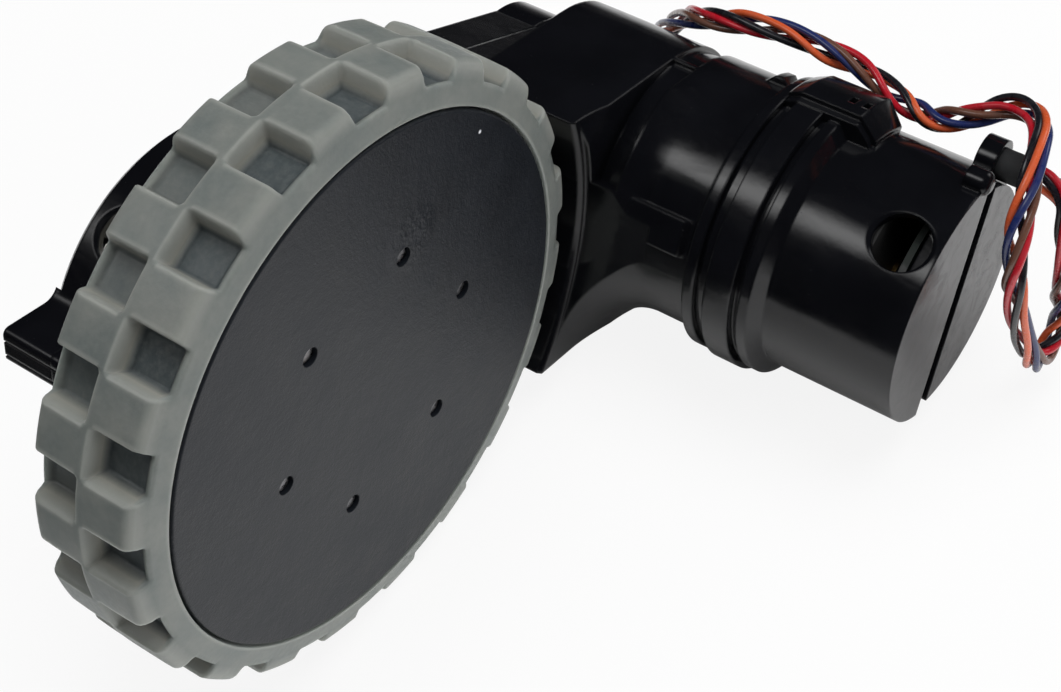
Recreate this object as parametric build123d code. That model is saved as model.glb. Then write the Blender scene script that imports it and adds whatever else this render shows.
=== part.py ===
"""Drive wheel module of a robot vacuum: wheel, gear case, motor in its pivot tube, and wire harness."""
import os
from math import acos, asin, atan2, cos, degrees, hypot, pi, radians, sin, sqrt, tan

from build123d import *

# Frame: +Y runs along the axle from the cover towards the gear case, +Z is up.
# The origin is on the pivot axis, in the middle of the journal.
# Everything is first built with the arm level, then the arm is tilted about the pivot.
# A depth is a distance along Y behind the outer face of the hub cover, negative in front of it.

# Gears: module, wheel teeth and pinion teeth of each mesh, motor first
MESHES = ((0.5, 52, 11), (0.6, 44, 12), (0.8, 44, 12))
TRAIN_DROP = (5.4, 5.3)        # downward slope of the first two centre lines, seen from the motor
PRESSURE_ANGLE = 20.0
PROFILE_SHIFT = 0.35           # pinion plus, wheel minus
BACKLASH = 0.12
GEAR_PIN_R = 1.0
PIN_GAP = 0.04                 # radial, gear on pin
FIRST_WHEEL = (17.2, 18.8)     # depths of the toothed parts
FIRST_PINION = (18.8, 21.4)
SECOND_WHEEL = (19.4, 21.1)
SECOND_PINION = (21.1, 26.2)
OUTPUT_WHEEL = (21.8, 26.0)
MOTOR_PINION = (16.8, 19.2)

# Tyre
TYRE_R = 36.1              # over the tread blocks
TYRE_FRONT = 0.6           # depth of the front side face
TYRE_WIDTH = 13.6
BLOCKS = 20                # tread blocks in each of the two rows
TYRE_T = 6.5               # rubber between the blocks' tops and the hub's rim
BAND_DROP = 1.8            # from the blocks' tops to the shoulder band beside the pockets
POCKET_DROP = 4.1          # from the blocks' tops to the floor of the pockets
BAND_WIDTH = 1.5           # shoulder band, side face to pocket
LIP_FRONT = 0.0            # the side face slopes forward to the cover's edge
GAP_SHARE = 0.47           # part of the tread pitch taken by a pocket
CENTRE_WEB = 0.7           # rubber between a front pocket and a rear one
SHOULDER = (0.4, 1.4)      # two bevels at each shoulder, side face and tread
TREAD_CHAMFER = 0.7
FRONT_ROW_ANGLE = 10.8     # first front block, measured from +X towards +Z

# Hub and cover
RIM_R = TYRE_R - TYRE_T    # tyre seat on the hub
COVER_LAP = 1.4            # cover beyond the rim
COVER_R = RIM_R + COVER_LAP
COVER_T = 1.8
COVER_GAP = 0.3            # cover edge to tyre lip
COVER_FILLET = 0.3
HUB_SCREWS = 6
HUB_SCREW_CIRCLE = 15.2    # radius
HUB_SCREW_ANGLE = 15.7
COVER_HOLE_R = 1.1
HUB_SCREW_R = 0.9
HUB_SCREW_HEAD = (1.7, 1.1)    # radius and height
HUB_SCREW_TIP = 0.5        # tip below the cover's face
RIM_FRONT = COVER_T + 0.2
RIM_T = 1.8
WEB_T = 2.0
HUB_BOSS_R = 6.0
RIB_T = 1.2
RIB_SINK = 2.0             # ribs end this far inside the rim's rear edge

# Axle, bushes and output shaft fixings
AXLE_R = 3.0
RUNNING_GAP = 0.03         # radial, shaft in bush
BUSH_WALL = 1.5
BUSH_FLANGE = (0.8, 1.0)   # thickness and width of the front bush's flange
BUSH_BOSS = 1.6            # wall of the case round a bush
AXLE_FLAT = 0.6            # depth of the two driving flats
AXLE_FRONT = COVER_T + WEB_T + 1.0
AXLE_SCREW_R = 1.25
AXLE_SCREW_LENGTH = 7.0
AXLE_SCREW_HEAD = (2.6, 1.1)

# Gear case
CASE_FRONT = 15.0
CASE_SPLIT = 21.5
CASE_BACK = 28.2
CASE_WALL = 1.3
CASE_FLOOR = 1.4
CASE_EDGE = 0.8            # bevel round the rear face
CASE_CLEAR = 0.78          # gear tips to the case's inside
NOSE_R = 10.5              # round the motor axis
NOSE_END = (4.0, -0.4)     # centre of the nose's round end, from the motor axis
EAR_END = -25.4            # screw ear, from the wheel axis
EAR_BOTTOM = 3.9
EAR_TOP = 8.2
EAR_GROOVES = (4.9, 6.7)   # heights of the grooves in its end
GROOVE = 0.3
EAR_ROUND = 0.8
EAR_BLEND = 2.0            # hollow round between the ear and the lobe above it
EAR_SCREW = (-22.8, 6.05)
CASE_SCREWS = ((12.6, 16.2), (12.6, -16.2))    # beside the lobe, from the wheel axis
NOSE_SCREW = (7.0, 0.0)    # beside the motor, from the motor axis
BOSS_R = 2.1
LOBE_HOLE = (22.7, 130.0)  # depth and angle of the round hole in the lobe's wall
SPIN_GAP = 0.3             # along the axle, between turning and fixed parts
CASE_SCREW_R = 0.9
CASE_SCREW_HEAD = (1.6, 1.3)
HEAD_SINK = 1.6            # screw heads below the rear face
PIN_FLOOR = 0.8            # wall behind each end of a gear pin
PIN_BOSS_WALL = 1.4

# Wheel arch and its gusset
ARCH_GAP = 1.7             # tyre to arch
ARCH_CHAMFER = 0.6
ARCH_STEP = 0.9            # the flare's cut stands back from the arch by this
GUSSET_FRONT = 0.0
GUSSET_BOTTOM = -19.6
ARCH_REACH = 6.0           # the arch's end above the tyre's rear, inside its radius
FLARE_R = 9.0              # hollow round from the tube up to the gusset
VALLEY = (-4.0, -0.8)      # groove behind it
VALLEY_ANGLES = (92.0, 158.0)

# Pivot tube, round a motor can of the common 28 mm size
MOTOR_R = 13.85
MOTOR_GAP = 0.15
TUBE_BORE_R = MOTOR_R + MOTOR_GAP
TUBE_WALL = 1.5
JOURNAL_R = TUBE_BORE_R + TUBE_WALL    # second section
TUBE_STEP = 0.5
TUBE_R = JOURNAL_R + TUBE_STEP         # first section, on the gear case
TUBE_BACK = 16.7
TUBE_FLANGE = (-16.4, -14.4)
FLANGE_H = 1.4             # above the first section
FLANGE_R = TUBE_R + FLANGE_H
SPIGOT_WALL = 1.0
SPIGOT_R = TUBE_BORE_R + SPIGOT_WALL
SPIGOT_BACK = -12.6
RING_H = 2.3               # locating ring, above the journal
RING_R = JOURNAL_R + RING_H
RING = (-21.4, -18.0)
RING_GROOVE_H = 1.1
RING_GROOVE_R = JOURNAL_R + RING_GROOVE_H
THIN_RING = (-23.6, -22.3)
THIN_RING_H = 1.8
THIN_RING_R = JOURNAL_R + THIN_RING_H
JOURNAL_BACK = -24.8
END_WALL = 1.6             # half moon plates
END_FLOOR = 1.2            # wall behind them
MOTOR_LENGTH = 37.8
MOTOR_FRONT = 4.0
MOTOR_BACK = MOTOR_FRONT - MOTOR_LENGTH
ENCODER_T = 1.8            # magnet on the motor's tail, and its gap to the motor
ENCODER_GAP = 0.9
ENCODER_DEPTH = (MOTOR_BACK - ENCODER_GAP - ENCODER_T, MOTOR_BACK - ENCODER_GAP)
BOARD_T = 0.8              # board in front of it, and its gap to the magnet
BOARD_GAP = 1.0
BOARD_DEPTH = (ENCODER_DEPTH[0] - BOARD_GAP - BOARD_T, ENCODER_DEPTH[0] - BOARD_GAP)
END_PLANE = BOARD_DEPTH[0] - SPIN_GAP - END_FLOOR - END_WALL
END_SLOT = 2.2
END_SLOT_ANGLE = 10.0
END_COVER_INSET = 1.1
END_COVER_R = JOURNAL_R - END_COVER_INSET
SIDE_HOLE_R = 3.4
SIDE_HOLE = (END_PLANE + 4.5, 130.0)   # depth and angle of the round hole in the tube's wall
HOLE_RIM = 0.45            # bevel round both holes
VALLEY_SINK = 0.6
VALLEY_R = TUBE_R - VALLEY_SINK
PAD = (-13.8, -5.0, 158.0, 174.0, 0.6)     # depths, angles and height of the raised pad
NUB = (-14.4, -11.4, 66.0, 78.0, 1.0)
SADDLE_ANGLES = (64.0, 95.0)   # raised block across the rings
SADDLE_STEP = 3.0          # degrees that its top stands back at each side
SADDLE_H = 0.9             # above the locating ring
SADDLE_R = RING_R + SADDLE_H
SADDLE_EDGE = 0.7          # drop from its top to its sides
SADDLE_TOP = -25.6         # depth where its top ends, and where it meets the journal
SADDLE_BACK = -28.0
SADDLE_SLOTS = (-22.9, -24.7)  # rear depths of its two slots
SADDLE_SLOT = (0.8, 81.0, 86.0, 1.2)   # width, angles and drop
PIP = (JOURNAL_R + 0.5, 88.0)  # radius and angle of the round stud on the tube's end
PIP_R = 1.5
PIP_DEPTH = (END_PLANE - 0.6, END_PLANE + 2.4)

# Motor
CAN_T = 1.2
MAGNET_T = 2.95
MAGNET_GAP = 0.5           # to the rotor
ROTOR_R = MOTOR_R - CAN_T - MAGNET_T - MAGNET_GAP
SHAFT_R = 1.15
BULKHEAD_T = 1.6
MOTOR_SCREW_CIRCLE = 7.0   # radius
MOTOR_SCREW_R = 1.0
MOTOR_SCREW_HEAD = (1.7, 1.2)
BELL_T = 2.0
MOTOR_NOSE_R = 5.0         # centring boss in the bulkhead
MOTOR_BUSH_R = 3.0
MAGNETS = (MOTOR_BACK + 8, MOTOR_FRONT - 4)
CORE = (MOTOR_BACK + 9, MOTOR_FRONT - 5)
POLES = 5
POLE_SLOT = (6.0, 1.6)     # depth and width between the poles
COMMUTATOR_FRONT = MOTOR_BACK + 4
TERMINAL_INSET = 3.85      # inside the can's outer face
TERMINAL_X = (TERMINAL_INSET - MOTOR_R, MOTOR_R - TERMINAL_INSET)
TERMINAL_SIZE = (0.6, 3.0)
ENCODER_R = 4.0
SENSOR_SIZE = (3.0, 3.0, 0.8)

# Cable
CABLE_D = 3.0
GLAND_ANGLE = 58.4377      # round the pivot
GLAND_OUT = 0.9305         # its axis outside the journal
GLAND_REACH = 2.8          # in front of the tube's end
GROMMET_R = 1.9
GROMMET_WALL = 0.9         # of the housing round it
GROMMET_SINK = 1.2         # behind the shoulder of the end
PLUG_SIZE = (8.0, 9.0, 4.6)
PLUG_WAYS = 5

JOURNAL_FRONT = SIDE_HOLE[0] + SIDE_HOLE_R     # the plain stretch ends at the side hole
JOURNAL_MIDDLE = (JOURNAL_BACK + JOURNAL_FRONT) / 2


def polar(centre, radius, angle):
    return (centre[0] + radius * cos(radians(angle)), centre[1] + radius * sin(radians(angle)))


def mesh_distance(mesh):
    module, wheel, pinion = MESHES[mesh]
    return module * (wheel + pinion) / 2


def wheel_tip(mesh):
    module, wheel, _ = MESHES[mesh]
    return module * (wheel / 2 + 1 - PROFILE_SHIFT)


# Axes in X and Z with the arm level; the last centre line climbs back to the pivot's height
PIVOT = (0.0, 0.0)
FIRST_PIN = polar(PIVOT, mesh_distance(0), 180 + TRAIN_DROP[0])
SECOND_PIN = polar(FIRST_PIN, mesh_distance(1), 180 + TRAIN_DROP[1])
AXLE_SPACING = sqrt(mesh_distance(2)**2 - SECOND_PIN[1]**2) - SECOND_PIN[0]
WHEEL = (-AXLE_SPACING, 0.0)
ARM_TILT = degrees(asin((TYRE_R - RING_R) / AXLE_SPACING))
LOBE_R = wheel_tip(2) + CASE_CLEAR + CASE_WALL     # gear case round the wheel axis
HUB_BACK = CASE_FRONT - 2 * SPIN_GAP
BUSH_BACK = CASE_FRONT + CASE_FLOOR + 0.8
GEAR_FRONT = BUSH_BACK + BUSH_FLANGE[0] + SPIN_GAP     # the output gear's boss, on the axle's rear flats
AXLE_BACK = CASE_BACK - 2 * SPIN_GAP


# Placing helpers

def y_of(depth):
    """Row Y of a depth behind the cover's face."""
    return depth - JOURNAL_MIDDLE


def prism(face, front, back):
    """Solid from a face drawn in X and Z, between two depths."""
    plane = Plane(origin=(0, y_of(back), 0), x_dir=(1, 0, 0), z_dir=(0, -1, 0))
    return extrude(plane * face, amount=back - front)


def disc(centre, radius, front, back):
    return prism(Pos(*centre) * Circle(radius), front, back)


def pipe(centre, outer, inner, front, back):
    return disc(centre, outer, front, back) - disc(centre, inner, front, back)


def turned(centre, outline):
    """Solid of revolution about an axis along Y, from (depth, radius) points."""
    points = [(radius, y_of(depth)) for depth, radius in outline]
    face = make_face(Polyline(*points, close=True))
    return Pos(centre[0], 0, centre[1]) * revolve(face, Axis.Y)


def sector(centre, outline, start, end):
    """Part of a solid of revolution between two angles from +X towards +Z."""
    points = [(radius, y_of(depth)) for depth, radius in outline]
    face = Rot(0, -start, 0) * make_face(Polyline(*points, close=True))
    whole = revolve(face, Axis((0, 0, 0), (0, -1, 0)), revolution_arc=end - start)
    return Pos(centre[0], 0, centre[1]) * whole


def radial_hole(centre, place, radius, wall_r, depth):
    """Cutter of a bevelled hole through a round wall, at a depth and an angle."""
    along, angle = place
    plane = Plane(origin=(centre[0], y_of(along), centre[1]), z_dir=(cos(radians(angle)), 0, sin(radians(angle))))
    bevel = plane.location * Pos(0, 0, wall_r - HOLE_RIM / 2) * Cone(radius - HOLE_RIM / 4, radius + HOLE_RIM * 1.5,
                                                                   HOLE_RIM * 1.5)
    return extrude(plane.offset(wall_r - depth) * Circle(radius), amount=depth + 2) + bevel


def spin(angle, centre=WHEEL):
    """Turn about an axis along Y, from +X towards +Z."""
    return Pos(centre[0], 0, centre[1]) * Rot(0, -angle, 0) * Pos(-centre[0], 0, -centre[1])


def direction(start, end):
    return degrees(atan2(end[1] - start[1], end[0] - start[0]))


def belt(first, r_first, second, r_second):
    """Face of two discs and the straight band round them."""
    span = hypot(second[0] - first[0], second[1] - first[1])
    heading = direction(first, second)
    spread = degrees(acos((r_first - r_second) / span))
    corners = [polar(first, r_first, heading + spread), polar(first, r_first, heading - spread),
               polar(second, r_second, heading - spread), polar(second, r_second, heading + spread)]
    band = make_face(Polyline(*corners, close=True))
    return band + Pos(*first) * Circle(r_first) + Pos(*second) * Circle(r_second)


# Gears

def involute(angle):
    return tan(angle) - angle


def tooth_points(module, teeth, shift):
    """Half a tooth as (radius, half angle) pairs, root to tip."""
    pressure = radians(PRESSURE_ANGLE)
    pitch_r = module * teeth / 2
    base_r = pitch_r * cos(pressure)
    root_r = pitch_r + module * (shift - 1.25)
    tip_r = pitch_r + module * (shift + 1)
    thickness = module * (pi / 2 + 2 * shift * tan(pressure)) - BACKLASH / 2
    start_r = max(root_r, base_r)
    pairs = []
    for radius in (start_r, (start_r + tip_r) / 2, tip_r):
        roll = acos(base_r / radius)
        pairs.append((radius, thickness / (2 * pitch_r) + involute(pressure) - involute(roll)))
    if root_r < base_r:
        pairs.insert(0, (root_r, pairs[0][1]))
    return pairs


def gear(centre, module, teeth, shift, depths, facing):
    """Spur gear with a tooth, or for a negative shift a tooth gap, towards an angle."""
    pairs = tooth_points(module, teeth, shift)
    pitch = 2 * pi / teeth
    start = radians(facing) + (pitch / 2 if shift < 0 else 0)
    points = []
    for index in range(teeth):
        middle = start + index * pitch
        for radius, half in pairs:
            points.append(polar(centre, radius, degrees(middle - half)))
        for radius, half in reversed(pairs):
            points.append(polar(centre, radius, degrees(middle + half)))
    return prism(make_face(Polyline(*points, close=True)), *depths)


def motor_pinion():
    module, _, teeth = MESHES[0]
    body = gear(PIVOT, module, teeth, PROFILE_SHIFT, MOTOR_PINION, direction(PIVOT, FIRST_PIN))
    return body - disc(PIVOT, SHAFT_R, *MOTOR_PINION)


def compound_gear(centre, before, after, wheel_mesh, wheel_depths, pinion_depths):
    """Wheel driven from before, and pinion that drives what is after, moulded as one."""
    module, teeth, _ = MESHES[wheel_mesh]
    body = gear(centre, module, teeth, -PROFILE_SHIFT, wheel_depths, direction(centre, before))
    module, _, teeth = MESHES[wheel_mesh + 1]
    body += gear(centre, module, teeth, PROFILE_SHIFT, pinion_depths, direction(centre, after))
    front = min(wheel_depths[0], pinion_depths[0])
    back = max(wheel_depths[1], pinion_depths[1])
    return body - disc(centre, GEAR_PIN_R + PIN_GAP, front, back)


def output_gear():
    module, teeth, _ = MESHES[2]
    front, back = OUTPUT_WHEEL
    body = gear(WHEEL, module, teeth, -PROFILE_SHIFT, OUTPUT_WHEEL, direction(WHEEL, SECOND_PIN))
    root = module * (teeth / 2 - 1.25 - PROFILE_SHIFT)
    web = (back - front) / 3
    body -= pipe(WHEEL, root - CASE_WALL, HUB_BOSS_R, back - web, back)
    body += disc(WHEEL, HUB_BOSS_R, GEAR_FRONT, front)
    return body - axle_section(GEAR_FRONT, back)


# Axle and its bushes

def axle_section(front, back):
    """Round shaft with two driving flats, as a cutter or a solid."""
    shaft = Pos(*WHEEL) * Circle(AXLE_R)
    flats = Pos(*WHEEL) * Rectangle(2 * AXLE_R, 2 * (AXLE_R - AXLE_FLAT))
    return prism(shaft & flats, front, back)


def wheel_axle():
    """Steel shaft, flatted at the hub and at the output gear."""
    body = axle_section(AXLE_FRONT, HUB_BACK)
    body += disc(WHEEL, AXLE_R, HUB_BACK, GEAR_FRONT)
    body += axle_section(GEAR_FRONT, OUTPUT_WHEEL[1])
    body += disc(WHEEL, AXLE_R, OUTPUT_WHEEL[1], AXLE_BACK)
    return body - disc(WHEEL, AXLE_SCREW_R, AXLE_FRONT, AXLE_FRONT + AXLE_SCREW_LENGTH)


def front_bush():
    """Flanged bronze bush in the front case."""
    outer = AXLE_R + BUSH_WALL
    thickness, width = BUSH_FLANGE
    body = disc(WHEEL, outer, CASE_FRONT, BUSH_BACK)
    body += disc(WHEEL, outer + width, BUSH_BACK, BUSH_BACK + thickness)
    return body - disc(WHEEL, AXLE_R + RUNNING_GAP, CASE_FRONT, BUSH_BACK + thickness)


def rear_bush():
    return pipe(WHEEL, AXLE_R + BUSH_WALL, AXLE_R + RUNNING_GAP, OUTPUT_WHEEL[1] + SPIN_GAP, CASE_BACK)


# Wheel

def tyre_gap(angle, side):
    """Cutter of one gap between tread blocks: a pocket and the band beside it."""
    middle = TYRE_FRONT + TYRE_WIDTH / 2
    far = TYRE_R + 2
    out = middle + side * (TYRE_WIDTH / 2 + 1)
    band = middle + side * (TYRE_WIDTH / 2 - BAND_WIDTH)
    inner = middle + side * CENTRE_WEB / 2
    band_r, floor_r = TYRE_R - BAND_DROP, TYRE_R - POCKET_DROP
    outline = [(out, band_r), (band, band_r), (band, floor_r), (inner, floor_r), (inner, far), (out, far)]
    span = 360 / BLOCKS * GAP_SHARE
    return sector(WHEEL, outline, angle - span / 2, angle + span / 2)


def tyre():
    """Rubber ring with two staggered rows of blocks, pressed over the hub's rim."""
    front, back = TYRE_FRONT, TYRE_FRONT + TYRE_WIDTH
    lip = COVER_R + COVER_GAP
    side = TYRE_R - TREAD_CHAMFER
    near, wide = SHOULDER
    body = turned(WHEEL, [(LIP_FRONT, lip), (front, side - wide), (front + near, side), (front + wide, TYRE_R),
                          (back - wide, TYRE_R), (back - near, side), (back, side - wide), (back, RIM_R),
                          (RIM_FRONT, RIM_R), (RIM_FRONT, lip)])
    pitch = 360 / BLOCKS
    cutters = []
    for index in range(BLOCKS):
        cutters.append(tyre_gap(FRONT_ROW_ANGLE + (index + 0.5) * pitch, -1))
        cutters.append(tyre_gap(FRONT_ROW_ANGLE + index * pitch, 1))
    return body - cutters


def wheel_hub():
    """Moulded rim, web, ribs and boss; the cover screws pass through the web."""
    web_back = RIM_FRONT + WEB_T
    rim_back = TYRE_FRONT + TYRE_WIDTH
    inside = RIM_R - RIM_T
    body = turned(WHEEL, [(RIM_FRONT, 0), (RIM_FRONT, RIM_R), (rim_back, RIM_R), (rim_back, inside),
                          (web_back, inside), (web_back, HUB_BOSS_R), (HUB_BACK, HUB_BOSS_R), (HUB_BACK, 0)])
    start, end = HUB_BOSS_R - 0.2, inside + 0.2
    rib = prism(Pos(WHEEL[0] + (start + end) / 2, WHEEL[1]) * Rectangle(end - start, RIB_T),
                web_back, rim_back - RIB_SINK)
    offset = HUB_SCREW_ANGLE + 180 / HUB_SCREWS
    body += [spin(offset + index * 360 / HUB_SCREWS) * rib for index in range(HUB_SCREWS)]
    body -= axle_section(AXLE_FRONT - 0.2, HUB_BACK)
    body -= disc(WHEEL, AXLE_SCREW_R + 0.15, RIM_FRONT, AXLE_FRONT)
    head_r, head_h = AXLE_SCREW_HEAD
    body -= disc(WHEEL, head_r + 0.2, RIM_FRONT, RIM_FRONT + head_h + 0.1)
    for x, z in hub_screw_places():
        body -= disc((x, z), HUB_SCREW_R, RIM_FRONT, web_back)
    return body


def hub_screw_places():
    step = 360 / HUB_SCREWS
    return [polar(WHEEL, HUB_SCREW_CIRCLE, HUB_SCREW_ANGLE + index * step) for index in range(HUB_SCREWS)]


def hub_cover():
    """Flat trim disc with six small holes."""
    body = disc(WHEEL, COVER_R, 0, COVER_T)
    body = fillet(body.edges().group_by(Axis.Y)[0], COVER_FILLET)
    for place in hub_screw_places():
        body -= disc(place, HUB_SCREW_R, 0, COVER_T)
        body -= disc(place, COVER_HOLE_R, 0, HUB_SCREW_TIP + SPIN_GAP)
    return body


def pan_screw(place, head_depth, tip_depth, shank_r, head):
    """Screw along Y with its head at the first depth; the shank runs to the tip."""
    head_r, head_h = head
    facing = 1 if tip_depth > head_depth else -1
    body = disc(place, head_r, *sorted((head_depth, head_depth - facing * head_h)))
    rim = body.edges().group_by(Axis.Y)[0 if facing > 0 else -1]
    body = chamfer(rim, head_h / 3)
    body += disc(place, shank_r, *sorted((head_depth, tip_depth)))
    slot = sorted((head_depth - facing * head_h, head_depth - facing * head_h / 3))
    cross = Rectangle(head_r * 1.1, head_r / 4) + Rectangle(head_r / 4, head_r * 1.1)
    return body - prism(Pos(*place) * cross, *slot)


def hub_screws():
    """Six screws driven from behind the web; their tips show in the cover's holes."""
    back = RIM_FRONT + WEB_T
    return [pan_screw(place, back, HUB_SCREW_TIP, HUB_SCREW_R, HUB_SCREW_HEAD) for place in hub_screw_places()]


def axle_screw():
    """Screw under the cover that holds the hub on the axle."""
    seat = RIM_FRONT + AXLE_SCREW_HEAD[1] + 0.1
    tip = AXLE_FRONT + AXLE_SCREW_LENGTH - 0.5
    return pan_screw(WHEEL, seat, tip, AXLE_SCREW_R, AXLE_SCREW_HEAD)


# Gear case

def case_outline(grow=0.0):
    """Outline of the gear case: a lobe at each axis and the bands between them."""
    first_r = wheel_tip(0) + CASE_CLEAR + CASE_WALL + grow
    second_r = wheel_tip(1) + CASE_CLEAR + CASE_WALL + grow
    outline = belt(WHEEL, LOBE_R + grow, PIVOT, NOSE_R + grow)
    outline += belt(WHEEL, LOBE_R + grow, SECOND_PIN, second_r)
    outline += belt(SECOND_PIN, second_r, FIRST_PIN, first_r)
    outline += belt(FIRST_PIN, first_r, PIVOT, NOSE_R + grow)
    outline += belt(WHEEL, LOBE_R + grow, FIRST_PIN, first_r)
    outline += Pos(*NOSE_END) * Circle(NOSE_R + grow)
    return outline


def beside(centre, offset):
    return (centre[0] + offset[0], centre[1] + offset[1])


def ear_outline():
    """Flat ear that runs out of the lobe, with a hollow round above it and two grooves in its end."""
    length = -EAR_END - LOBE_R / 2
    middle = beside(WHEEL, (EAR_END + length / 2, (EAR_TOP + EAR_BOTTOM) / 2))
    ear = Pos(*middle) * RectangleRounded(length, EAR_TOP - EAR_BOTTOM, EAR_ROUND)
    reach = LOBE_R + EAR_BLEND
    x, z = -sqrt(reach**2 - (EAR_TOP + EAR_BLEND)**2), EAR_TOP + EAR_BLEND
    touch = (x * LOBE_R / reach, z * LOBE_R / reach)
    corner = [(x, EAR_TOP - 1), (x, EAR_TOP), touch, (touch[0], EAR_TOP - 1)]
    blend = make_face(Polyline(*[beside(WHEEL, point) for point in corner], close=True))
    ear += blend - Pos(*beside(WHEEL, (x, z))) * Circle(EAR_BLEND)
    for height in EAR_GROOVES:
        ear -= Pos(*beside(WHEEL, (EAR_END, height))) * Rectangle(2 * GROOVE, GROOVE)
    return ear


def screw_places():
    return [beside(WHEEL, offset) for offset in CASE_SCREWS + (EAR_SCREW,)] + [beside(PIVOT, NOSE_SCREW)]


def case_shell(front, back, cavity):
    """One half of the gear case, hollow between the cavity's depths."""
    body = prism(case_outline(), front, back)
    if back == CASE_BACK:
        body = chamfer(body.faces().sort_by(Axis.Y)[-1].edges(), CASE_EDGE)
    body += prism(ear_outline(), front, back)
    return body - prism(case_outline(-CASE_WALL), *cavity)


def gusset_outline():
    """The box between the wheel arch and the tube, level with the tube's top."""
    left = WHEEL[0] + TYRE_R - ARCH_REACH
    corners = [(left, TUBE_R), (0, TUBE_R), (0, -TUBE_R), (-TUBE_R / 2, GUSSET_BOTTOM), (left, GUSSET_BOTTOM)]
    return make_face(Polyline(*corners, close=True))


def arch_gusset():
    """Box behind the wheel arch, and the flare that leads from the tube up to it."""
    box = prism(gusset_outline(), GUSSET_FRONT, CASE_FRONT + 0.5)
    start = GUSSET_FRONT - FLARE_R
    face = make_face(Polyline((TUBE_R - 1, y_of(start)), (TUBE_R, y_of(start))) +
                     RadiusArc((TUBE_R, y_of(start)), (TUBE_R + FLARE_R, y_of(GUSSET_FRONT)), FLARE_R) +
                     Polyline((TUBE_R + FLARE_R, y_of(GUSSET_FRONT)), (TUBE_R - 1, y_of(GUSSET_FRONT)),
                              (TUBE_R - 1, y_of(start))))
    flare = revolve(face, Axis.Y) & prism(gusset_outline(), start, GUSSET_FRONT)
    top = TUBE_R + FLARE_R
    valley = [(VALLEY[0], VALLEY_R), (VALLEY[0], top), (VALLEY[1], top), (VALLEY[1], VALLEY_R)]
    return box + flare - sector(PIVOT, valley, *VALLEY_ANGLES)


def raised(place, radius):
    """Low pad on a round wall."""
    front, back, start, end, height = place
    outline = [(front, radius - 1), (front, radius), (front + height, radius + height),
               (back - height, radius + height), (back, radius), (back, radius - 1)]
    return sector(PIVOT, outline, start, end)


def front_case():
    """Front half of the gear case, with the wheel arch and the first tube section."""
    body = case_shell(CASE_FRONT, CASE_SPLIT, (CASE_FRONT + CASE_FLOOR, CASE_SPLIT))
    body += arch_gusset()
    body += turned(PIVOT, [(TUBE_BACK, 0), (TUBE_BACK, TUBE_R - 1.2), (TUBE_BACK - 1.2, TUBE_R),
                           (VALLEY[1], TUBE_R), (VALLEY[1], VALLEY_R), (VALLEY[0], VALLEY_R),
                           (VALLEY[0], TUBE_R), (TUBE_FLANGE[1], TUBE_R),
                           (TUBE_FLANGE[1] - 0.6, FLANGE_R), (TUBE_FLANGE[0], FLANGE_R),
                           (TUBE_FLANGE[0], 0)])
    body += raised(PAD, TUBE_R)
    body += raised(NUB, TUBE_R)
    arch = TYRE_R + ARCH_GAP
    body -= turned(WHEEL, [(GUSSET_FRONT - FLARE_R, 0), (GUSSET_FRONT - FLARE_R, arch + ARCH_STEP),
                           (GUSSET_FRONT, arch + ARCH_STEP), (GUSSET_FRONT, arch + ARCH_CHAMFER / 2),
                           (GUSSET_FRONT + ARCH_CHAMFER, arch), (CASE_FRONT, arch), (CASE_FRONT, 0)])
    body += disc(WHEEL, AXLE_R + BUSH_WALL + BUSH_BOSS, CASE_FRONT - 0.2, BUSH_BACK)
    body -= disc(WHEEL, AXLE_R + BUSH_WALL, CASE_FRONT - 0.2, BUSH_BACK)
    bulkhead = MOTOR_FRONT + BULKHEAD_T
    body -= disc(PIVOT, TUBE_BORE_R, TUBE_FLANGE[0], MOTOR_FRONT)
    body -= disc(PIVOT, SPIGOT_R, TUBE_FLANGE[0], SPIGOT_BACK)
    body -= disc(PIVOT, NOSE_R - CASE_WALL, bulkhead, CASE_SPLIT)
    body -= disc(PIVOT, MOTOR_NOSE_R + 0.05, MOTOR_FRONT, bulkhead)
    for place in motor_screw_places():
        body -= disc(place, MOTOR_SCREW_R + 0.2, MOTOR_FRONT, bulkhead)
    for place in screw_places():
        body += disc(place, BOSS_R, CASE_FRONT + CASE_FLOOR, CASE_SPLIT)
        body -= disc(place, CASE_SCREW_R, CASE_FRONT + CASE_FLOOR + 0.6, CASE_SPLIT)
    body -= radial_hole(WHEEL, LOBE_HOLE, SIDE_HOLE_R, LOBE_R, CASE_WALL + 0.5)
    for place, wheel in ((FIRST_PIN, FIRST_WHEEL), (SECOND_PIN, SECOND_WHEEL)):
        body += disc(place, GEAR_PIN_R + PIN_BOSS_WALL, CASE_FRONT + CASE_FLOOR, wheel[0] - SPIN_GAP)
        body -= disc(place, GEAR_PIN_R, CASE_FRONT + PIN_FLOOR, wheel[0])
    return body


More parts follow.
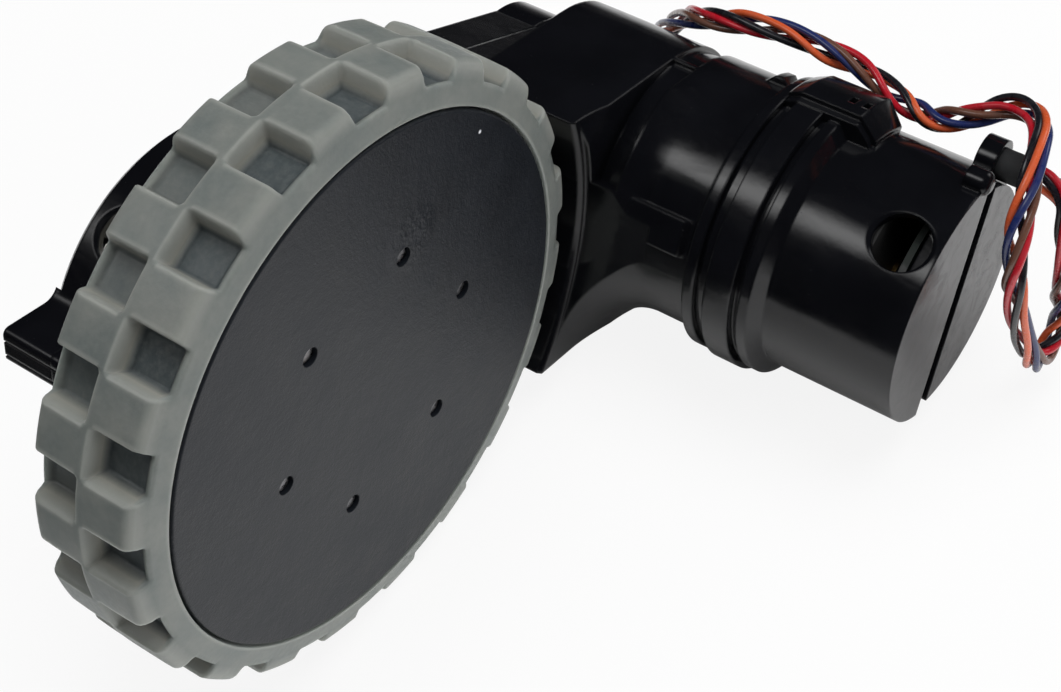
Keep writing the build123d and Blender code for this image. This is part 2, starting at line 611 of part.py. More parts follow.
def rear_case():
    """Rear half of the gear case, with counterbored screw holes."""
    floor = CASE_BACK - CASE_FLOOR
    body = case_shell(CASE_SPLIT, CASE_BACK, (CASE_SPLIT, floor))
    behind_gear = OUTPUT_WHEEL[1] + SPIN_GAP
    body += disc(WHEEL, AXLE_R + BUSH_WALL + BUSH_BOSS, behind_gear, CASE_BACK - 0.4)
    body -= disc(WHEEL, AXLE_R + BUSH_WALL, behind_gear, CASE_BACK)
    for place in screw_places():
        body += disc(place, BOSS_R, CASE_SPLIT, floor + 0.4)
        body -= disc(place, CASE_SCREW_R + 0.2, CASE_SPLIT, CASE_BACK)
        body -= disc(place, CASE_SCREW_HEAD[0] + 0.1, CASE_BACK - HEAD_SINK, CASE_BACK)
    body -= radial_hole(WHEEL, LOBE_HOLE, SIDE_HOLE_R, LOBE_R, CASE_WALL + 0.5)
    for place, pinion in ((FIRST_PIN, FIRST_PINION), (SECOND_PIN, SECOND_PINION)):
        body += disc(place, GEAR_PIN_R + PIN_BOSS_WALL, pinion[1] + SPIN_GAP, floor)
        body -= disc(place, GEAR_PIN_R, pinion[1], CASE_BACK - PIN_FLOOR)
    return body


def gear_pins():
    return [disc(place, GEAR_PIN_R, CASE_FRONT + PIN_FLOOR, CASE_BACK - PIN_FLOOR)
            for place in (FIRST_PIN, SECOND_PIN)]


def case_screws():
    head = CASE_BACK - HEAD_SINK
    tip = CASE_FRONT + CASE_FLOOR + 1.2
    return [pan_screw(place, head, tip, CASE_SCREW_R, CASE_SCREW_HEAD) for place in screw_places()]


# Pivot tube

def half_moon(radius, side):
    """Half disc beside the slot across the tube's end."""
    half = Rectangle(radius + 1, 2 * radius + 2, align=(Align.MIN if side > 0 else Align.MAX, Align.CENTER))
    return Rot(0, 0, -END_SLOT_ANGLE) * (Circle(radius) & (Pos(side * END_SLOT / 2, 0) * half))


def saddle():
    """Low block that bridges the rings, with stepped sides."""
    start, end = SADDLE_ANGLES
    block = None
    for drop, inset in ((SADDLE_EDGE, 0), (0, SADDLE_STEP)):
        top = SADDLE_R - drop
        outline = [(TUBE_FLANGE[0], RING_GROOVE_R - 1), (TUBE_FLANGE[0], top - SADDLE_EDGE), (RING[1], top),
                   (SADDLE_TOP, top), (SADDLE_BACK + drop, JOURNAL_R + SADDLE_EDGE), (SADDLE_BACK, JOURNAL_R - 1)]
        step = sector(PIVOT, outline, start + inset, end - inset)
        block = step if block is None else block + step
    return block


def motor_housing():
    """Second tube section: spigot, locating ring, journal and slotted end."""
    shoulder = END_PLANE + END_WALL
    body = turned(PIVOT, [(SPIGOT_BACK, 0), (SPIGOT_BACK, SPIGOT_R), (TUBE_FLANGE[0], SPIGOT_R),
                          (TUBE_FLANGE[0], RING_GROOVE_R), (RING[1], RING_GROOVE_R), (RING[1], RING_R),
                          (RING[0], RING_R), (RING[0], RING_GROOVE_R), (THIN_RING[1], RING_GROOVE_R),
                          (THIN_RING[1], THIN_RING_R), (THIN_RING[0], THIN_RING_R),
                          (JOURNAL_BACK, JOURNAL_R), (shoulder, JOURNAL_R), (shoulder, 0)])
    body += prism(half_moon(JOURNAL_R, -1), END_PLANE, shoulder)
    body -= disc(PIVOT, TUBE_BORE_R, shoulder + END_FLOOR, SPIGOT_BACK)
    body -= prism(half_moon(END_COVER_R - 2, 1), shoulder, shoulder + END_FLOOR)
    body += saddle()
    width, start, end, drop = SADDLE_SLOT
    for depth in SADDLE_SLOTS:
        body -= sector(PIVOT, [(depth, SADDLE_R - drop), (depth, SADDLE_R + 1), (depth - width, SADDLE_R + 1),
                               (depth - width, SADDLE_R - drop)], start, end)
    body -= radial_hole(PIVOT, SIDE_HOLE, SIDE_HOLE_R, JOURNAL_R, TUBE_WALL + 1)
    stud = disc(polar(PIVOT, *PIP), PIP_R, *PIP_DEPTH)
    body += fillet(stud.edges().group_by(Axis.Y)[0], PIP_R * 0.7)
    body += disc(cable_axis(), GROMMET_R + GROMMET_WALL, shoulder, shoulder + 2 * GROMMET_SINK)
    body -= disc(PIVOT, TUBE_BORE_R, shoulder + END_FLOOR, shoulder + 2 * GROMMET_SINK)
    body -= disc(cable_axis(), GROMMET_R, shoulder, shoulder + GROMMET_SINK)
    return body


def cable_axis():
    return polar(PIVOT, JOURNAL_R + GLAND_OUT, GLAND_ANGLE)


def end_cover():
    """Half moon lid beside the slot."""
    return prism(half_moon(END_COVER_R, 1), END_PLANE, END_PLANE + END_WALL)


def cable_grommet():
    """Rubber sleeve that the wires leave through."""
    back = END_PLANE + END_WALL + GROMMET_SINK
    return disc(cable_axis(), GROMMET_R, END_PLANE - GLAND_REACH, back)


# Motor

def motor_can():
    body = disc(PIVOT, MOTOR_R, MOTOR_BACK + BELL_T, MOTOR_FRONT)
    body += disc(PIVOT, MOTOR_NOSE_R, MOTOR_FRONT, MOTOR_FRONT + BULKHEAD_T - 0.1)
    body -= disc(PIVOT, MOTOR_R - CAN_T, MOTOR_BACK + BELL_T, MOTOR_FRONT - CAN_T)
    body -= disc(PIVOT, MOTOR_BUSH_R, MOTOR_FRONT - CAN_T, MOTOR_FRONT + BULKHEAD_T)
    for place in motor_screw_places():
        body -= disc(place, MOTOR_SCREW_R, MOTOR_FRONT - CAN_T, MOTOR_FRONT)
    return body


def motor_bushes():
    front = (MOTOR_FRONT - CAN_T, MOTOR_FRONT + BULKHEAD_T - 0.1)
    rear = (MOTOR_BACK - 0.5, MOTOR_BACK + BELL_T)
    return [pipe(PIVOT, MOTOR_BUSH_R, SHAFT_R + RUNNING_GAP, *depths) for depths in (front, rear)]


def motor_magnets():
    """Two arc magnets inside the can."""
    ring = pipe(PIVOT, MOTOR_R - CAN_T, ROTOR_R + MAGNET_GAP, *MAGNETS)
    slot = prism(Rectangle(MOTOR_R / 3, 2 * MOTOR_R), *MAGNETS)
    return (ring - slot).solids()


def motor_end_bell():
    body = disc(PIVOT, MOTOR_R, MOTOR_BACK, MOTOR_BACK + BELL_T)
    body -= disc(PIVOT, MOTOR_BUSH_R, MOTOR_BACK, MOTOR_BACK + BELL_T)
    for x in TERMINAL_X:
        body -= terminal(x, MOTOR_BACK, MOTOR_BACK + BELL_T)
    return body


def terminal(x, front, back):
    return prism(Pos(x, 0) * Rectangle(*TERMINAL_SIZE), front, back)


def motor_terminals():
    return [terminal(x, BOARD_DEPTH[0], MOTOR_BACK + BELL_T) for x in TERMINAL_X]


def motor_shaft():
    return disc(PIVOT, SHAFT_R, ENCODER_DEPTH[0], MOTOR_PINION[1])


def motor_rotor():
    """Laminated core with five poles, and the commutator behind it."""
    poles = Circle(ROTOR_R)
    slot = Pos(ROTOR_R + 0.8 - POLE_SLOT[0] / 2, 0) * Rectangle(*POLE_SLOT)
    for index in range(POLES):
        poles -= Rot(0, 0, (index + 0.5) * 360 / POLES) * slot
    body = prism(poles, *CORE)
    body += disc(PIVOT, ROTOR_R / 3, COMMUTATOR_FRONT, CORE[0])
    return body - disc(PIVOT, SHAFT_R, MOTOR_BACK, MOTOR_FRONT)


def encoder_magnet():
    return pipe(PIVOT, ENCODER_R, SHAFT_R, *ENCODER_DEPTH)


def encoder_board():
    """Board between the motor's tail and the end wall, with its sensor."""
    body = disc(PIVOT, MOTOR_R - 0.6, *BOARD_DEPTH)
    width, height, thickness = SENSOR_SIZE
    body += prism(Pos(0, ENCODER_R + 0.5) * Rectangle(width, height), BOARD_DEPTH[1], BOARD_DEPTH[1] + thickness)
    for x in TERMINAL_X:
        body -= terminal(x, *BOARD_DEPTH)
    return body


def motor_screw_places():
    return [polar(PIVOT, MOTOR_SCREW_CIRCLE, angle) for angle in (90, 270)]


def motor_screws():
    bulkhead = MOTOR_FRONT + BULKHEAD_T
    tip = MOTOR_FRONT - CAN_T
    return [pan_screw(place, bulkhead, tip, MOTOR_SCREW_R, MOTOR_SCREW_HEAD) for place in motor_screw_places()]


# Wire harness

# Route of the wire bundle with the arm level: X from the pivot axis, depth, Z
ROUTE = [
    (8.6, -44.2, 14.0), (8.6, -47.8, 14.0), (8.2, -49.6, 7.6), (10.6, -50.2, 0.6), (13.4, -50.4, -7.0),
    (8.4, -50.4, -10.8), (2.6, -49.2, -2.6), (-1.2, -47.8, 6.0), (-1.2, -46.4, 13.4), (3.4, -45.2, 19.4),
    (9.6, -43.0, 20.6), (12.6, -38.6, 19.6), (10.6, -34.4, 17.0), (9.6, -30.4, 15.0), (10.2, -26.0, 15.6),
    (11.4, -19.4, 17.2), (11.4, -13.0, 17.9), (11.0, -6.6, 17.6), (10.8, -1.4, 16.8), (12.4, 3.4, 14.4),
    (15.8, 8.6, 11.0), (19.6, 12.6, 4.8), (21.5, 15.0, -0.3), (21.5, 18.6, -5.5), (21.4, 24.4, -8.8),
    (21.4, 33.6, -8.8),
]


def tilt(shape):
    return Rot(0, ARM_TILT, 0) * shape


def route_points():
    """Route in the row frame, arm tilted."""
    turn = radians(ARM_TILT)
    return [(x * cos(turn) + z * sin(turn), y_of(depth), z * cos(turn) - x * sin(turn)) for x, depth, z in ROUTE]


def corner_radii(points):
    """Largest arc at each corner: 0.45 of the shorter run over the tangent of half the turn."""
    vectors = [Vector(*b) - Vector(*a) for a, b in zip(points, points[1:])]
    radii = []
    for before, after in zip(vectors, vectors[1:]):
        turn = radians(before.get_angle(after))
        radii.append(0.45 * min(before.length, after.length) / tan(turn / 2))
    return radii


def harness():
    """Wire bundle as one plain tube of straight runs and arcs."""
    points = route_points()
    radii = corner_radii(points)
    path = FilletPolyline(*points, radius=radii)
    start = Plane(origin=path @ 0, z_dir=path % 0)
    tube = sweep(start * Circle(CABLE_D / 2), path=path)
    print("cable length", round(path.length, 1), "volume ratio",
          round(tube.volume / (pi * CABLE_D**2 / 4 * path.length), 3))
    print("cable radii", [round(radius, 1) for radius in radii])
    print("lowest route point above the floor", round(min(p[2] for p in points) + RING_R - CABLE_D / 2, 2))
    return tube


def harness_plug():
    """Crimp connector that ends the harness, flat on the surface behind the case."""
    end = route_points()[-1]
    width, length, height = PLUG_SIZE
    body = Pos(end[0], end[1] + length / 2, end[2]) * Box(width, length, height)
    pitch = width / (PLUG_WAYS + 1)
    for index in range(PLUG_WAYS):
        x = end[0] + (index - (PLUG_WAYS - 1) / 2) * pitch
        body -= Pos(x, end[1] + length - 1.5, end[2]) * Box(pitch * 0.55, 3.0, 1.0)
    return body


LEVEL_PARTS = {
    "tyre": tyre, "wheel_hub": wheel_hub, "hub_cover": hub_cover, "hub_screws": hub_screws,
    "wheel_axle": wheel_axle, "axle_screw": axle_screw, "output_gear": output_gear,
    "front_bush": front_bush, "rear_bush": rear_bush, "front_case": front_case, "rear_case": rear_case,
    "gear_pins": gear_pins, "case_screws": case_screws, "motor_housing": motor_housing,
    "end_cover": end_cover, "cable_grommet": cable_grommet, "motor_can": motor_can,
    "motor_bushes": motor_bushes, "motor_magnets": motor_magnets, "motor_end_bell": motor_end_bell,
    "motor_terminals": motor_terminals, "motor_shaft": motor_shaft, "motor_rotor": motor_rotor,
    "motor_pinion": motor_pinion, "encoder_magnet": encoder_magnet, "encoder_board": encoder_board,
    "motor_screws": motor_screws,
}


def build():
    shapes = {name: make() for name, make in LEVEL_PARTS.items()}
    shapes["first_gear"] = compound_gear(FIRST_PIN, PIVOT, SECOND_PIN, 0, FIRST_WHEEL, FIRST_PINION)
    shapes["second_gear"] = compound_gear(SECOND_PIN, FIRST_PIN, WHEEL, 1, SECOND_WHEEL, SECOND_PINION)
    tilted = {}
    for name, shape in shapes.items():
        solids = shape if isinstance(shape, list) else shape.solids()
        tilted[name] = Compound(children=[tilt(solid) for solid in solids]) if len(solids) > 1 else tilt(solids[0])
    tilted["harness"] = harness()
    tilted["harness_plug"] = harness_plug()
    return tilted


def main():
    os.makedirs("parts", exist_ok=True)
    for name, shape in build().items():
        export_step(shape, f"parts/{name}.step")
    turn = radians(ARM_TILT)
    for name, (x, z) in (("wheel", WHEEL), ("first pin", FIRST_PIN), ("second pin", SECOND_PIN)):
        print(name, "axis x", round(x * cos(turn) + z * sin(turn), 4), "z", round(z * cos(turn) - x * sin(turn), 4))


main()
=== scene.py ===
"""Drive wheel module of a robot vacuum: looks, moulded tyre and five-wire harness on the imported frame."""
from math import cos, pi, radians, sin

import bpy
from mathutils import Matrix, Vector, noise


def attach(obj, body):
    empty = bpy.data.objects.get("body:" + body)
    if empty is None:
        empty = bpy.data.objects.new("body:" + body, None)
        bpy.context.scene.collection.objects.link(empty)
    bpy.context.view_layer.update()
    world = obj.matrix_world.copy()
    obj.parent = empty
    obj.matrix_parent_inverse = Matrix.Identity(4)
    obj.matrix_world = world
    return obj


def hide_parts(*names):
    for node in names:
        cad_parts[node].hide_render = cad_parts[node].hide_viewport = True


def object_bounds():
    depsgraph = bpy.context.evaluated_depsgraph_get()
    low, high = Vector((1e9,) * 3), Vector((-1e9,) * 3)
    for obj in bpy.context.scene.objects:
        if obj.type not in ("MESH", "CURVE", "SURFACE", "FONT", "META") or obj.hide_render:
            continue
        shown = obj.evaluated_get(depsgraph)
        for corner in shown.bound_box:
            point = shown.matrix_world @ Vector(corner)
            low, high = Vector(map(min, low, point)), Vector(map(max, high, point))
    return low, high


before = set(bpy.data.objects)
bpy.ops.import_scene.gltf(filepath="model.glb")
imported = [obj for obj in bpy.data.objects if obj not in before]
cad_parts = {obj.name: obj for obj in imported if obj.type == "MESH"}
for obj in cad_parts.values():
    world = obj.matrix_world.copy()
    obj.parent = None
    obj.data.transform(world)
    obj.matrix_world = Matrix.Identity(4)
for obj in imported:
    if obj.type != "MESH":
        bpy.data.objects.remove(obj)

cad_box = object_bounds()
MM = 0.001

# Sizes and places shared with the CAD source, in millimetres
TILT = radians(19.581872)          # the arm's tilt about the pivot
JOURNAL_MIDDLE = -29.15            # depth of the frame's origin
WHEEL_X = -54.60185                # wheel axis with the arm level
TYRE_R, LIP_R, SEAT_R = 36.1, 31.3, 29.6
TYRE_FRONT, TYRE_BACK, LIP_DEPTH, LIP_FRONT = 0.6, 14.2, 2.0, 0.0
BAND_R, POCKET_R, BAND_WIDTH, CENTRE_WEB = 33.9, 33.3, 0.7, 0.7
BLOCKS, GAP_SHARE, FRONT_ROW_ANGLE = 20, 0.47, 10.8
CABLE_D = 3.0
ROUTE = [
    (8.6, -44.2, 14.0), (8.6, -47.8, 14.0), (8.2, -49.6, 7.6), (10.6, -50.2, 0.6), (13.4, -50.4, -7.0),
    (8.4, -50.4, -10.8), (2.6, -49.2, -2.6), (-1.2, -47.8, 6.0), (-1.2, -46.4, 13.4), (3.4, -45.2, 19.4),
    (9.6, -43.0, 20.6), (12.6, -38.6, 19.6), (10.6, -34.4, 17.0), (9.6, -30.4, 15.0), (10.2, -26.0, 15.6),
    (11.4, -19.4, 17.2), (11.4, -13.0, 17.9), (11.0, -6.6, 17.6), (10.8, -1.4, 16.8), (12.4, 3.4, 14.4),
    (15.8, 8.6, 11.0), (19.6, 12.6, 4.8), (21.5, 15.0, -0.3), (21.5, 18.6, -5.5), (21.4, 24.4, -8.8),
    (21.4, 33.6, -8.8),
]
PLUG_WAYS, PLUG_WIDTH = 5, 8.0


def row(x, depth, z):
    """Point of the tilted arm in the row frame, in metres, from level millimetres and a depth."""
    return Vector((x * cos(TILT) + z * sin(TILT), depth - JOURNAL_MIDDLE, z * cos(TILT) - x * sin(TILT))) * MM


# Materials

class Look:
    """A Principled material that is built up node by node, in millimetres of the object."""

    def __init__(self, name, roughness=0.4, **sockets):
        self.material = bpy.data.materials.new(name)
        self.material.use_nodes = True
        self.tree = self.material.node_tree
        self.shader = self.tree.nodes["Principled BSDF"]
        self.set("Roughness", roughness)
        for socket, value in sockets.items():
            self.set(socket.replace("_", " "), value)
        self.coords = self.add("ShaderNodeTexCoord").outputs["Object"]
        self.normal = None

    def set(self, socket, value):
        self.shader.inputs[socket].default_value = value

    def add(self, kind, **inputs):
        """A new node; an input is given by its name, or by its number as i0, i1 and so on."""
        made = self.tree.nodes.new(kind)
        for key, value in inputs.items():
            numbered = key[0] == "i" and key[1:].isdigit()
            self.feed(made.inputs[int(key[1:]) if numbered else key.replace("_", " ")], value)
        return made

    def feed(self, socket, value):
        if isinstance(value, bpy.types.NodeSocket):
            self.tree.links.new(value, socket)
        else:
            socket.default_value = value

    def noise(self, size, detail=3.0, rough=0.55, stretch=(1, 1, 1), warp=0.0):
        """Noise whose features are about size millimetres across."""
        mapped = self.add("ShaderNodeMapping", Vector=self.coords, Scale=stretch)
        return self.add("ShaderNodeTexNoise", Vector=mapped.outputs[0], Scale=1 / (size * MM), Detail=detail,
                        Roughness=rough, Distortion=warp).outputs[0]

    def span(self, value, low, high, to_low, to_high):
        made = self.add("ShaderNodeMapRange", i0=value, i1=low, i2=high, i3=to_low, i4=to_high)
        made.interpolation_type = "SMOOTHSTEP"
        return made.outputs[0]

    def ramp(self, value, *stops):
        made = self.add("ShaderNodeValToRGB", Fac=value)
        elements = made.color_ramp.elements
        while len(elements) < len(stops):
            elements.new(0.5)
        for element, (place, colour) in zip(elements, stops):
            element.position = place
            element.color = (*colour, 1.0)
        return made.outputs[0]

    def near(self, place, reach):
        """One at a place, fading to nought at a reach in millimetres."""
        off = self.add("ShaderNodeVectorMath", i0=self.coords, i1=place)
        off.operation = "DISTANCE"
        return self.span(off.outputs["Value"], reach * MM, reach * 0.4 * MM, 0.0, 1.0)

    def mix(self, factor, first, second, blend="MIX"):
        made = self.tree.nodes.new("ShaderNodeMix")
        made.data_type = "RGBA"
        made.blend_type = blend
        self.feed(made.inputs[0], factor)
        self.feed(made.inputs[6], first if isinstance(first, bpy.types.NodeSocket) else (*first, 1.0))
        self.feed(made.inputs[7], second if isinstance(second, bpy.types.NodeSocket) else (*second, 1.0))
        return made.outputs[2]

    def math(self, operation, first, second=0.5):
        made = self.add("ShaderNodeMath", i0=first, i1=second)
        made.operation = operation
        return made.outputs[0]

    def round_edges(self, radius):
        """Soft highlight along moulded edges."""
        made = self.add("ShaderNodeBevel", Radius=radius * MM)
        made.samples = 6
        self.normal = made.outputs[0]

    def bump(self, height, depth, strength=1.0):
        made = self.add("ShaderNodeBump", Height=height, Distance=depth * MM, Strength=strength)
        if self.normal:
            self.feed(made.inputs["Normal"], self.normal)
        self.normal = made.outputs[0]

    def done(self, colour=None, roughness=None):
        if colour is not None:
            self.feed(self.shader.inputs["Base Color"], colour)
        if roughness is not None:
            self.feed(self.shader.inputs["Roughness"], roughness)
        if self.normal:
            self.feed(self.shader.inputs["Normal"], self.normal)
        return self.material


def gloss_plastic(name, colour, roughness, edge, ripple=0.012):
    """Injection moulded plastic: slow ripple, fine grain, faint wipe marks in its gloss."""
    look = Look(name, roughness, IOR=1.5)
    look.round_edges(edge)
    slow = look.noise(9.0, 2.0)
    smear = look.noise(3.0, 5.0, 0.6, (1.0, 0.35, 1.0), 1.2)
    dust = look.noise(0.35, 2.0, 0.5)
    tone = look.mix(look.span(slow, 0.35, 0.7, 0.0, 1.0), colour, [1.35 * c for c in colour])
    specks = look.span(dust, 0.76, 0.80, 0.0, 1.0)
    tone = look.mix(look.math("MULTIPLY", specks, 0.15), tone, (0.10, 0.10, 0.105))
    rough = look.span(smear, 0.38, 0.68, roughness * 0.75, roughness * 1.5)
    rough = look.math("ADD", rough, look.math("MULTIPLY", specks, 0.25))
    look.bump(slow, ripple * 6)
    look.bump(look.noise(0.8, 3.0), ripple * 0.5)
    return look.done(tone, rough)


def satin_plastic(name, colour, roughness, grain_mm, depth, specular=0.5, edge=0.15, dent=None, speck=None):
    """Spark-eroded satin plastic with a fine random grain, small pale scuffs, dents round a place and a speck."""
    look = Look(name, roughness, IOR=1.5, Specular_IOR_Level=specular)
    look.round_edges(edge)
    grain = look.noise(grain_mm, 4.0, 0.65)
    cloud = look.noise(7.0, 4.0, 0.6)
    tone = look.mix(look.span(cloud, 0.3, 0.7, 0.0, 1.0), colour, [1.3 * c for c in colour])
    tone = look.mix(look.span(grain, 0.55, 0.75, 0.0, 0.35), tone, [1.9 * c + 0.004 for c in colour])
    specks = look.span(look.noise(0.55, 1.0, 0.4), 0.765, 0.80, 0.0, 1.0)
    tone = look.mix(look.math("MULTIPLY", specks, 0.25), tone, (0.15, 0.15, 0.15))
    look.bump(look.noise(1.3, 3.0, 0.6), depth * 1.5)
    if dent:
        look.bump(look.math("MULTIPLY", look.near(dent, 4.5), look.noise(0.9, 2.0, 0.5)), 0.22)
    if speck:
        tone = look.mix(look.near(speck, 0.3), tone, (0.75, 0.77, 0.80))
    look.bump(grain, depth)
    return look.done(tone, look.span(cloud, 0.3, 0.7, roughness * 0.9, roughness * 1.12))


def metal(name, colour, roughness, brushed=(1, 1, 1), size=0.5, stain=(0.25, 0.2, 0.16)):
    """Metal with brush marks, cloudy tone and a little staining."""
    look = Look(name, roughness, Metallic=1.0)
    look.round_edges(0.1)
    marks = look.noise(size, 4.0, 0.6, brushed)
    cloud = look.noise(4.0, 4.0)
    tone = look.mix(look.span(marks, 0.3, 0.7, 0.0, 1.0), [0.78 * c for c in colour], colour)
    tone = look.mix(look.span(cloud, 0.55, 0.8, 0.0, 0.4), tone, stain)
    look.bump(marks, 0.01)
    return look.done(tone, look.span(marks, 0.3, 0.7, roughness * 0.7, roughness * 1.4))


def silicone():
    """Cloudy translucent rubber: dark where it is thin over the hub, with painted warm light on the block walls
    and a painted highlight along its edges.
    """
    look = Look("tyre_silicone", 0.42, IOR=1.42, Subsurface_Weight=0.6, Subsurface_Scale=1.0 * MM,
                Subsurface_Radius=(1.5, 1.6, 1.5), Coat_Weight=0.12, Coat_Roughness=0.35)
    thin, painted_wall_light, edge = (look.add("ShaderNodeAttribute") for _ in range(3))
    thin.attribute_name, painted_wall_light.attribute_name, edge.attribute_name = "thin", "painted_wall_light", "edge"
    cloud = look.noise(6.0, 4.0, 0.6)
    fine = look.noise(0.7, 4.0, 0.6)
    tone = look.ramp(cloud, (0.3, (0.138, 0.158, 0.153)), (0.7, (0.212, 0.222, 0.206)))
    # painted light: the block walls are made paler and warmer
    tone = look.mix(look.math("MULTIPLY", painted_wall_light.outputs["Fac"], 0.6), tone, (0.33, 0.32, 0.275))
    # painted highlight: a pale line along the block edges and the lip
    tone = look.mix(look.math("MULTIPLY", edge.outputs["Fac"], 0.45), tone, (0.33, 0.335, 0.31))
    tone = look.mix(look.math("MULTIPLY", thin.outputs["Fac"], 0.8), tone, (0.036, 0.048, 0.056))
    tone = look.mix(look.span(fine, 0.35, 0.75, 0.0, 0.12), tone, (0.32, 0.325, 0.31))
    look.bump(cloud, 0.10)
    look.bump(fine, 0.03)
    return look.done(tone, look.span(fine, 0.3, 0.7, 0.36, 0.52))


def insulation(name, colour):
    """Soft PVC wire insulation with slight bloom."""
    look = Look(name, 0.28, IOR=1.5, Coat_Weight=0.6, Coat_Roughness=0.12)
    bloom = look.noise(1.4, 3.0)
    tone = look.mix(look.span(bloom, 0.4, 0.75, 0.0, 0.45), colour, [0.75 * c + 0.03 for c in colour])
    look.bump(look.noise(0.5, 2.0), 0.01)
    return look.done(tone, look.span(bloom, 0.3, 0.7, 0.22, 0.38))


def circuit_board():
    look = Look("board_dark", 0.4)
    tracks = look.noise(1.6, 1.0, 0.4, (1.0, 1.0, 0.3))
    tone = look.mix(look.span(tracks, 0.5, 0.53, 0.0, 1.0), (0.003, 0.005, 0.004), (0.006, 0.010, 0.008))
    look.bump(tracks, 0.02)
    return look.done(tone, look.span(tracks, 0.4, 0.6, 0.35, 0.5))


BLACK = (0.0036, 0.0038, 0.0050)
case_gloss = gloss_plastic("case_gloss", BLACK, 0.15, 0.55)
rear_gloss = gloss_plastic("rear_gloss", BLACK, 0.17, 0.4)
tube_gloss = gloss_plastic("tube_gloss", BLACK, 0.14, 0.4)
lid_gloss = gloss_plastic("lid_gloss", (0.0045, 0.0047, 0.0058), 0.19, 0.25, 0.02)
cover_satin = satin_plastic("cover_satin", (0.0105, 0.0125, 0.0165), 0.38, 0.28, 0.05, 0.40,
                            dent=row(WHEEL_X + 5.0, 0, 16.5), speck=row(WHEEL_X + 16.0, 0, 24.0))
hub_satin = satin_plastic("hub_satin", (0.012, 0.012, 0.013), 0.5, 0.4, 0.03)
white_acetal = satin_plastic("white_acetal", (0.72, 0.71, 0.66), 0.35, 0.5, 0.01)
bell_nylon = satin_plastic("bell_nylon", (0.03, 0.03, 0.03), 0.45, 0.4, 0.02)
gland_rubber = satin_plastic("gland_rubber", (0.018, 0.019, 0.020), 0.62, 0.5, 0.04, 0.35, 0.3)
ferrite = satin_plastic("ferrite", (0.05, 0.05, 0.052), 0.6, 0.3, 0.05)
plug_nylon = satin_plastic("plug_nylon", (0.74, 0.71, 0.62), 0.38, 0.6, 0.01)
screw_steel = metal("screw_steel", (0.34, 0.34, 0.35), 0.30)
bright_steel = metal("bright_steel", (0.62, 0.62, 0.63), 0.22, (1, 6, 1), 0.6)
can_zinc = metal("can_zinc", (0.66, 0.68, 0.70), 0.30, (0.3, 3, 0.3), 0.8)
core_steel = metal("core_steel", (0.30, 0.30, 0.31), 0.42, (0.2, 8, 0.2), 0.4)
bronze = metal("bronze", (0.55, 0.36, 0.14), 0.38, (1, 1, 1), 0.3)
brass = metal("brass", (0.78, 0.58, 0.25), 0.25)

FINISHES = {
    "wheel_hub": hub_satin, "hub_cover": cover_satin, "hub_screws": screw_steel, "wheel_axle": bright_steel,
    "axle_screw": screw_steel, "output_gear": white_acetal, "second_gear": white_acetal,
    "first_gear": white_acetal, "motor_pinion": brass, "motor_shaft": bright_steel, "motor_rotor": core_steel,
    "encoder_magnet": ferrite, "front_case": case_gloss, "rear_case": rear_gloss, "motor_housing": tube_gloss,
    "end_cover": lid_gloss, "cable_grommet": gland_rubber, "motor_can": can_zinc, "motor_end_bell": bell_nylon,
    "motor_bushes": bronze, "motor_magnets": ferrite, "motor_terminals": brass,
    "encoder_board": circuit_board(), "motor_screws": screw_steel, "front_bush": bronze, "rear_bush": bronze,
    "gear_pins": bright_steel, "case_screws": screw_steel, "harness_plug": plug_nylon,
}

for node, finish in FINISHES.items():
    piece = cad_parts[node]
    if not piece.material_slots:
        piece.data.materials.append(finish)
    for place in piece.material_slots:
        place.material = finish


def make_piece(name, points, faces, looks, picks=None, smooth=True):
    mesh = bpy.data.meshes.new(name)
    mesh.from_pydata(points, [], faces)
    for finish in looks:
        mesh.materials.append(finish)
    if picks:
        mesh.polygons.foreach_set("material_index", picks)
    mesh.polygons.foreach_set("use_smooth", [smooth] * len(mesh.polygons))
    mesh.update()
    piece = bpy.data.objects.new(name, mesh)
    bpy.context.scene.collection.objects.link(piece)
    return piece


# Tyre: a closed ring grid whose tread height follows the two staggered rows of blocks

AROUND = 1080          # steps round the tyre
TREAD_STEPS = 52       # steps across the tread
PAINTED_HIGHLIGHT_STEPS = 3         # how far from a block's edge, in steps round it, the painted highlight line reaches
WALL_ANGLE = 0.62      # half the width of a block's side wall, in degrees
WALL_DEPTH = 0.34      # the same along the axle, in millimetres


def ease(value):
    value = min(max(value, 0.0), 1.0)
    return value * value * (3 - 2 * value)


def gap_share(angle, row_angle):
    """One between the blocks of a row, nought on them."""
    pitch = 360 / BLOCKS
    off = abs((angle - row_angle + pitch / 2) % pitch - pitch / 2)
    return ease((pitch * GAP_SHARE / 2 + WALL_ANGLE - off) / (2 * WALL_ANGLE))


def block_r(depth):
    """Tread radius over the blocks, with rounded shoulders and a slightly crowned top."""
    side = min(depth - TYRE_FRONT, TYRE_BACK - depth)
    crown = 0.12 * ((depth - (TYRE_FRONT + TYRE_BACK) / 2) / 6.8) ** 2
    if side < 1.4:
        share = 1 - side / 1.4
        return TYRE_R - crown - 2.1 * (1 - (1 - share ** 2.2) ** 0.5)
    return TYRE_R - crown


def tread_r(depth, angle):
    """Radius at a depth and an angle; also how deep in a pocket it is."""
    middle = (TYRE_FRONT + TYRE_BACK) / 2
    front = depth < middle
    row_angle = FRONT_ROW_ANGLE + (0.5 if front else 0.0) * 360 / BLOCKS
    share = gap_share(angle, row_angle)
    top = block_r(depth)
    side = min(depth - TYRE_FRONT, TYRE_BACK - depth)
    pocket = ease((side - BAND_WIDTH + WALL_DEPTH) / (2 * WALL_DEPTH))
    pocket *= ease((abs(depth - middle) - CENTRE_WEB / 2) / (2 * WALL_DEPTH))
    web = ease((abs(depth - middle) - CENTRE_WEB / 2) / (2 * WALL_DEPTH))
    target = min(top, BAND_R) * (1 - pocket) + POCKET_R * pocket
    return top + (target - top) * share * web


